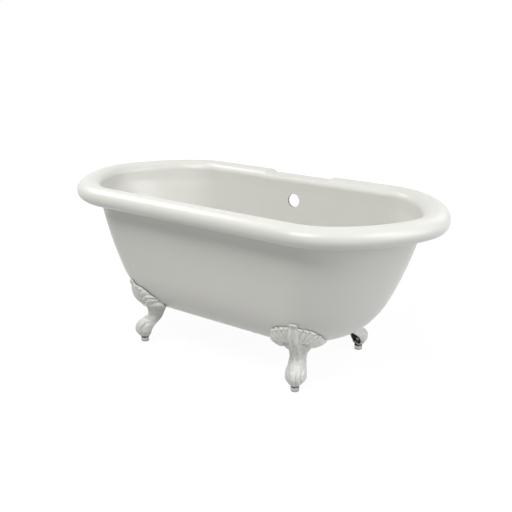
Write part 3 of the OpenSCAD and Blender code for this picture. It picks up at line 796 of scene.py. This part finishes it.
def paw(t, z, out):
    """Toes, the grooves between them and the cuff above them."""
    cuff_z = 94 - 0.002 * t * t
    front = np.exp(-(t / 24) ** 4)
    swell = round_top(1 - np.clip((cuff_z - z) / 6, 0, 1))
    cuff = 4.6 * swell * (0.45 + 0.55 * smooth((z - 62) / 22)) * front
    cuff -= 1.6 * (1 - front) * smooth((cuff_z - z) / 12)
    swing = t * (1 + 0.10 * smooth((55 - z) / 30))
    toe = np.full(t.shape, 0.0)
    for low, high in zip(TOE_GROOVES[:-1], TOE_GROOVES[1:]):
        inside = (swing >= low) & (swing < high)
        u = 2 * (swing - (low + high) / 2) / (high - low)
        toe = np.where(inside, round_top(u) - 0.7, toe)
    run = smooth((88 - z) / 20) * smooth((z - 27) / 12)
    knuckle = 1.4 * bell(z - 72, 8) + 1.0 * bell(z - 46, 8) - 1.6
    return cuff + run * (6.8 * toe + knuckle * np.maximum(0, toe + 0.7)) * smooth((out + 30) / 25)


def relief(points):
    r, t, z = points[..., 0], points[..., 1], points[..., 2]
    upper = smooth((z - 108) / 8)
    return upper * (leaf_fan(t, z) + folds(t, z)) + trunk(t, z) + (1 - upper) * paw(t, z, r)


# %% [markdown]
# All four castings come from one pattern, and its two wings aren't quite alike: the left tip
# stands a little higher than the right one, the cap leans towards it, and the leg flares on
# the other side. The bath's skin lies differently at each side of
# a foot, so there are two plain surfaces that mirror each other, and the relief is put on
# both the same way round. Side is 1 where the pattern's left lies towards +t, else -1.

# %% Add the relief, and scallop the fan's edge
def directions(grid):
    """The outward direction at each point of a grid of points."""
    up = np.gradient(grid, axis=0)
    along = np.gradient(grid, axis=1)
    n = np.cross(along, up)
    n /= np.maximum(np.linalg.norm(n, axis=2), 1e-9)[..., None]
    return n * np.sign(np.mean(n[:, FOOT_COLS // 2] @ np.array([1.0, 0, 0.2])))


up_share = row_share[:, None]
SCALLOP, LEFT_TIP, RIGHT_TIP = 4.4, 4.5, 8
CAP_LEAN, LEG_FLARE = 5, 9


def scallop(grid, side):
    """Draws the top rows down between the leaves' tips, and keeps their distance from the bath."""
    out = grid.copy()
    t, z = grid[..., 1], grid[..., 2]
    top_t = t[-1]
    across = leaf_place(np.abs(top_t), z[-1])
    dip = -SCALLOP * (1 - round_top(across)) * smooth((np.abs(top_t) - 14) / 3)
    dip *= smooth((84 - np.abs(top_t)) / 8)
    dip += LEFT_TIP * smooth((side * top_t - 48) / 28) - RIGHT_TIP * smooth((-side * top_t - 54) / 26)
    # The cap leans a little towards the pattern's left, and the leg flares on its right
    out[..., 1] += CAP_LEAN * side * bell(t, 42) * smooth((z - 150) / 70)
    flare = smooth((-side * t - 12) / 16) * smooth((z - 98) / 40) * (1 - smooth((z - 150) / 30))
    out[..., 1] -= LEG_FLARE * side * flare
    out[..., 2] += dip[None, :] * smooth((up_share - 0.86) / 0.14)
    out[..., 0] += np.where(z > BASE_H, skin_r(out[..., 1], out[..., 2]) - skin_r(t, z), 0)
    return out


EDGE_CURL, EDGE_BEAD, LEAF_BEAD, BACK_DROP = 4.6, 1.0, 2.2, 5.0
LEAST_T, DEEPEST = 2.6, -6.6


def form_foot(side):
    """The ornamented outer face and the hollow back of a foot."""
    t, z = plain[..., 1], plain[..., 2]
    height = np.maximum(relief(plain * np.array([1, side, 1])), DEEPEST)
    leaf = round_top(leaf_place(np.abs(t), z))
    beads = (EDGE_BEAD + LEAF_BEAD * leaf) * smooth((up_share - 0.962) / 0.014)
    height += beads * smooth((np.abs(t) - 13) / 4)
    out = scallop(plain + directions(plain) * height[..., None], side)
    out[0, :, 2] = PAW_Z
    # The edge curls over in a quarter circle towards the bath, and the cap lies close to it
    depth = np.clip((out[-1:, :, 2] - out[..., 2]) / (EDGE_CURL * (0.45 + 0.55 * leaf)), 0, 1)
    curl = 0.85 * (1 - round_top(1 - depth)) * smooth((up_share - 0.85) / 0.05)
    clear = skin_r(out[..., 1], out[..., 2]) + FOOT_GAP
    cap_close = 1 - 0.4 * smooth((out[..., 2] - 248) / 10)
    stands_off = np.maximum(out[..., 0] - clear, 0) * (1 - curl) * cap_close
    out[..., 0] = np.where(out[..., 2] > BASE_H, clear + stands_off, out[..., 0])
    back = scallop(hollow, side)
    back[..., 2] -= BACK_DROP * smooth((up_share - 0.95) / 0.05)
    # Where the relief goes deep, the hollow back moves in, so the wall keeps its least thickness
    inwards = -directions(plain)
    short = np.maximum(LEAST_T + np.sum((out - back) * inwards, axis=2), 0) * (up_share < 0.85)
    back += inwards * short[..., None]
    numbers = [round(float(n), 1) for n in (height.min(), height.max(), short.max())]
    print("side", side, "lowest and highest relief, and the back's largest move, in mm", numbers)
    return out, back


# %% [markdown]
# The outer face carries the ornament and needs many points. The hollow back is plain, so it
# keeps one point in four up the foot and one in five across. A band of faces with a rounded
# edge joins the two, and makes the casting one closed body.

# %% Faces of the casting
ROW_STEP, COL_STEP = 4, 5
n_out = FOOT_COLS + 1
outer_faces = [(i * n_out + j, i * n_out + j + 1, (i + 1) * n_out + j + 1, (i + 1) * n_out + j)
               for i in range(FOOT_ROWS) for j in range(FOOT_COLS)]
rows_in, n_in = hollow[::ROW_STEP, ::COL_STEP].shape[:2]
inner_start = (FOOT_ROWS + 1) * n_out


def inner_index(i, j):
    return inner_start + i // ROW_STEP * n_in + j // COL_STEP


inner_faces = [(inner_start + i * n_in + j, inner_start + (i + 1) * n_in + j,
                inner_start + (i + 1) * n_in + j + 1, inner_start + i * n_in + j + 1)
               for i in range(rows_in - 1) for j in range(n_in - 1)]

# The casting's edge runs up one side, across the top and down the other side
edge_path = [(i, 0) for i in range(FOOT_ROWS)] + [(FOOT_ROWS, j) for j in range(FOOT_COLS)]
edge_path += [(i, FOOT_COLS) for i in range(FOOT_ROWS, -1, -1)]
round_start = inner_start + rows_in * n_in


def casting_points(side):
    """The points of a casting: its outer face, its hollow back and a rounding between them."""
    out, back = form_foot(side)
    bulge = np.array([(out[i, j] + back[i, j]) / 2 for i, j in edge_path])
    bulge[:, 2] += np.array([0.6 if i == FOOT_ROWS else 0.0 for i, j in edge_path])
    bulge[:, 0] -= np.array([1.2 if i < FOOT_ROWS else 0.0 for i, j in edge_path])
    return np.concatenate([out.reshape(-1, 3), back[::ROW_STEP, ::COL_STEP].reshape(-1, 3), bulge])


band_faces = []
for k in range(len(edge_path) - 1):
    (i, j), (i2, j2) = edge_path[k], edge_path[k + 1]
    band_faces.append((i * n_out + j, i2 * n_out + j2, round_start + k + 1, round_start + k))
stops = [k for k, (i, j) in enumerate(edge_path)
         if (i % ROW_STEP == 0 if j in (0, FOOT_COLS) and i < FOOT_ROWS else j % COL_STEP == 0)]
seam_faces = []
for a, b in zip(stops[:-1], stops[1:]):
    seam_faces.append([round_start + k for k in range(a, b + 1)]
                      + [inner_index(*edge_path[b]), inner_index(*edge_path[a])])
last_k = len(edge_path) - 1
closing = [list(range(n_out)),
           list(range(inner_start, inner_start + n_in)),
           [0, round_start, inner_start, inner_start + n_in - 1, round_start + last_k, FOOT_COLS]]
casting_faces = outer_faces + band_faces + inner_faces + seam_faces + closing
casting_finish = [0] * (len(outer_faces) + len(band_faces)) + [1] * len(inner_faces)
casting_finish += [0] * len(seam_faces) + [1, 1, 0]
print("casting faces", len(casting_faces))


# %% [markdown]
# Inside the casting are the things that make it a real part: a web across the leg for the
# two bolts, and a boss in the paw with the thread for the levelling screw. Turned and
# hexagonal pieces share one helper: a stack of rings whose radius may change with the angle,
# which gives a cylinder, a chamfered nut or a helical thread.

# %% Helpers for turned pieces
def stack(rows, sides=48, radius=None, close=False):
    """Points and faces from (radius, height) rows. radius(r, z, angles) may reshape them."""
    angles = np.arange(sides) * 2 * math.pi / sides
    found = []
    for r, z in rows:
        ring_r = radius(r, z, angles) if radius else np.full(sides, float(r))
        found.append(flat(np.stack([ring_r * np.cos(angles), ring_r * np.sin(angles)], axis=1), z))
    made = grid_faces(len(rows), sides, wrap_rows=close)
    if not close:
        made += [list(range(sides)), list(range((len(rows) - 1) * sides, len(rows) * sides))]
    return np.concatenate(found), made


def hexagon(flats):
    """Cuts a ring to a hexagon, so that a wide ring is six-sided and a narrow one round."""
    def cut(r, z, angles):
        return np.minimum(r, flats / 2 / np.cos((angles % (math.pi / 3)) - math.pi / 6))
    return cut


def chamfered(flats, low, high, chamfer, bore=None):
    """Rows of a hexagon with its corners turned off at both ends."""
    corner = flats / 2 / math.cos(math.pi / 6)
    steps = [(corner - chamfer * (1 - k / 4) * 1.25, k / 4 * chamfer * 0.8) for k in range(5)]
    rows = [(r, low + d) for r, d in steps] + [(r, high - d) for r, d in reversed(steps)]
    if bore:
        rows = [(bore, low + 0.6), (bore + 0.6, low)] + rows + [(bore + 0.6, high), (bore, high - 0.6)]
    return rows


def place(points, x, y, turn=0.0):
    c, s = math.cos(turn), math.sin(turn)
    return np.column_stack([points[:, 0] * c - points[:, 1] * s + x,
                            points[:, 0] * s + points[:, 1] * c + y, points[:, 2]])


def gather(parts):
    """Several (points, faces) as one."""
    points, faces, start = [], [], 0
    for p, f in parts:
        points.append(p)
        faces += [[k + start for k in face] for face in f]
        start += len(p)
    return np.concatenate(points), faces


# %% The four castings
CORNERS = {"front_left": (-1, -1), "front_right": (1, -1), "back_left": (-1, 1), "back_right": (1, 1)}
WEB_Z, WEB_T, WEB_STATION, WEB_BACK, WEB_IN = 122, 8, 7.65, -68, 1
BOSS_R, BOSS_H = 9.5, 16


def to_corner(points, corner):
    """From a foot's own out, sideways and up to the frame of the bath, at one corner."""
    sx, sy = CORNERS[corner]
    x, y = foot_xy(points[:, 0], points[:, 1])
    return np.column_stack([sx * x, sy * y, points[:, 2]])


web_line = foot_surface([WEB_STATION], foot_angles[::6], CAST_T - WEB_IN)[0]
web_line[:, 0] = np.maximum(web_line[:, 0], WEB_BACK)
web_rows = []
for inset, z in ((0.6, WEB_Z - WEB_T), (0, WEB_Z - WEB_T + 0.6), (0, WEB_Z - 0.6), (0.6, WEB_Z)):
    row = web_line.copy()
    row[:, 0] = np.maximum(row[:, 0], WEB_BACK + inset)
    row[:, 2] = z
    web_rows.append(row)
web_n = len(web_line)
web_ends = [list(range(web_n)), list(range((len(web_rows) - 1) * web_n, len(web_rows) * web_n))]
web = (np.concatenate(web_rows), grid_faces(len(web_rows), web_n) + web_ends)
boss = stack([(BOSS_R, PAW_Z + 0.5), (BOSS_R, PAW_Z + BOSS_H - 1), (BOSS_R - 1, PAW_Z + BOSS_H)])
castings = {side: casting_points(side) for side in (1, -1)}
for corner, (sx, sy) in CORNERS.items():
    foot_points, foot_faces = gather([(castings[-sx * sy], casting_faces), web, boss])
    kinds = casting_finish + [1] * (len(foot_faces) - len(casting_finish))
    add_piece("foot_casting_" + corner, to_corner(foot_points, corner), foot_faces, [PAINT, RAW_CAST],
              "bath", "foot_white", ["foot_" + corner], kinds, sharp=50)

# %% [markdown]
# The levelling screw is what a fitter turns with a spanner to set the bath level: a tall
# hexagon head on a glide, and a metric thread of 10 mm with a pitch of 1.5 mm. The thread is
# drawn as a true right-handed helix, so its turn and its rise agree when it moves.

# %% Levelling screws
GLIDE_H, HEAD_GAP, PIVOT_R, PIVOT_L = 4, 0.2, 4, 2.5
HEAD_FLATS, STUD_R, STUD_L, PITCH = 28, 5, 52, 1.5
STUD_Z = PAW_Z - 2
HEAD_Z = GLIDE_H + HEAD_GAP
THREAD_DEPTH, ROWS_PER_PITCH, THREAD_SIDES = 0.92, 6, 36
HEAD_SIDES, PAINTED_SHADE_DEPTH = 72, 4.5


def helix(r, z, angles):
    turn = (z / PITCH - angles / (2 * math.pi)) % 1
    tooth = np.clip((1 - 2 * np.abs(turn - 0.5) - 0.1) / 0.8, 0, 1)
    return r - THREAD_DEPTH * (1 - tooth)


top_z = STUD_Z + STUD_L
thread_rows = [(STUD_R, z) for z in np.arange(STUD_Z - 0.5, top_z - 1.4, PITCH / ROWS_PER_PITCH)]
thread_rows += [(STUD_R - 0.4, top_z - 0.9), (STUD_R - 0.9, top_z - 0.4), (STUD_R - 1.3, top_z)]
thread = stack(thread_rows, THREAD_SIDES, helix)
corner_r = HEAD_FLATS / 2 / math.cos(math.pi / 6)
low_rows = [(14.4, 0), (14.9, 0.3), (15.4, 0.8), (15.8, 1.4), (corner_r, 2.2)]
# These upper rows of the head take the painted shade finish
painted_shade_rows = [(corner_r, -PAINTED_SHADE_DEPTH), (corner_r, -2.0), (15.6, -1.1), (14.8, -0.5), (13.8, 0)]
head_rows = [(r, HEAD_Z + z) for r, z in low_rows] + [(r, STUD_Z + z) for r, z in painted_shade_rows]
head = stack(head_rows, HEAD_SIDES, hexagon(HEAD_FLATS))
# The head's top and the upper part of its sides are painted dark, as painted shade from the paw above it
plain_sides = len(low_rows) * HEAD_SIDES
head_kinds = [1 if k >= plain_sides else 0 for k in range(len(head[1]) - 2)] + [0, 1]
pivot_z = GLIDE_H - PIVOT_L
pivot = stack([(PIVOT_R - 0.3, pivot_z), (PIVOT_R, pivot_z + 0.3), (PIVOT_R, HEAD_Z + 0.2)])
for corner, (sx, sy) in CORNERS.items():
    points, faces = gather([thread, head, pivot])
    kinds = [0] * len(thread[1]) + head_kinds + [0] * len(pivot[1])
    turn = math.atan2(sy * math.sin(FOOT_TURN), sx * math.cos(FOOT_TURN))
    placed = place(points, sx * FOOT_X, sy * FOOT_Y, turn)
    add_piece("levelling_screw_" + corner, placed, faces, [SCREW_STEEL, PAINTED_SHADE_STEEL],
              "screw_" + corner, "screw_steel", ["screw_" + corner], kinds, sharp=25)

# %% Glides under the screws
GLIDE_R, GLIDE_SIDES = 14.5, 64
SOCKET_R = PIVOT_R + 0.05
glide_rows = [(SOCKET_R, pivot_z - HEAD_GAP), (SOCKET_R, GLIDE_H - 0.4), (SOCKET_R + 0.4, GLIDE_H),
              (GLIDE_R - 0.8, GLIDE_H), (GLIDE_R - 0.2, GLIDE_H - 0.2), (GLIDE_R, GLIDE_H - 0.8),
              (GLIDE_R, 1.8), (GLIDE_R - 0.3, 0.9), (GLIDE_R - 0.9, 0.3), (GLIDE_R - 1.8, 0)]
for corner, (sx, sy) in CORNERS.items():
    points, faces = stack(glide_rows, GLIDE_SIDES)
    add_piece("glide_disc_" + corner, place(points, sx * FOOT_X, sy * FOOT_Y), faces,
              [PLASTIC], "glide_" + corner, "glide_grey", ["glide_" + corner], sharp=30)

# %% [markdown]
# The small fixings are standard parts: lock nuts on the levelling screws, and two bolts with
# washers through the web of each foot, into brass inserts in the mounting block. Pieces of
# one kind share a node in the construction, so they share a mesh here too.

# %% Lock nuts, bolts and washers
NUT_FLATS, NUT_H = 17, 8
BOLT_R, BOLT_L, BOLT_FLATS, BOLT_HEAD_H, WASHER_R, WASHER_T = 4, 22, 13, 5.5, 8, 1.6
BOLT_BACK, BOLT_PITCH = 48, 20
UNDER_WEB_Z = WEB_Z - WEB_T
nut_z = PAW_Z + BOSS_H
nuts, bolts, washers = [], [], []
nut_rows = chamfered(NUT_FLATS, nut_z, nut_z + NUT_H, 1.6, STUD_R + 0.05)
nut = stack(nut_rows, HEAD_SIDES, hexagon(NUT_FLATS), close=True)
washer_z = UNDER_WEB_Z - WASHER_T
bolt_z = washer_z - BOLT_HEAD_H
bolt_head = stack(chamfered(BOLT_FLATS, bolt_z, washer_z, 1.2), HEAD_SIDES, hexagon(BOLT_FLATS))
shank = stack([(BOLT_R, washer_z - 0.2), (BOLT_R, washer_z + BOLT_L - 1), (BOLT_R - 1, washer_z + BOLT_L)])
washer = stack([(BOLT_R + 0.5, washer_z), (WASHER_R - 0.3, washer_z), (WASHER_R, washer_z + 0.3),
                (WASHER_R, UNDER_WEB_Z - 0.3), (WASHER_R - 0.3, UNDER_WEB_Z),
                (BOLT_R + 0.5, UNDER_WEB_Z)], close=True)
for corner, (sx, sy) in CORNERS.items():
    nuts.append((place(nut[0], sx * FOOT_X, sy * FOOT_Y, 0.4 + sx), nut[1]))
    for s in (-1, 1):
        x, y = foot_xy(-BOLT_BACK + s * BOLT_PITCH / 2, 0)
        bolts += [(place(bolt_head[0], sx * x, sy * y, 0.3 * s + sy), bolt_head[1]),
                  (place(shank[0], sx * x, sy * y), shank[1])]
        washers.append((place(washer[0], sx * x, sy * y), washer[1]))
for name, parts, node in (("screw_lock_nuts", nuts, "lock_nuts"), ("web_bolts", bolts, "foot_bolts"),
                          ("web_washers", washers, "foot_washers")):
    add_piece(name, *gather(parts), [ZINC], "bath", "zinc_steel", [node], sharp=25)

# %% [markdown]
# The board, the mounting blocks and the brass inserts have the right shape already, so their
# solids stay and only get a finish.

# %% Finishes for the pieces that stay as they are
stay = {"base_board": PLY, "foot_inserts": BRASS}
stay.update({"block_" + corner: BLOCK_WOOD for corner in CORNERS})
for name, material in stay.items():
    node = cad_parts[name]
    if not node.material_slots:
        node.data.materials.append(material)
    for slot in node.material_slots:
        slot.material = material
print("finished nodes", sorted(stay))
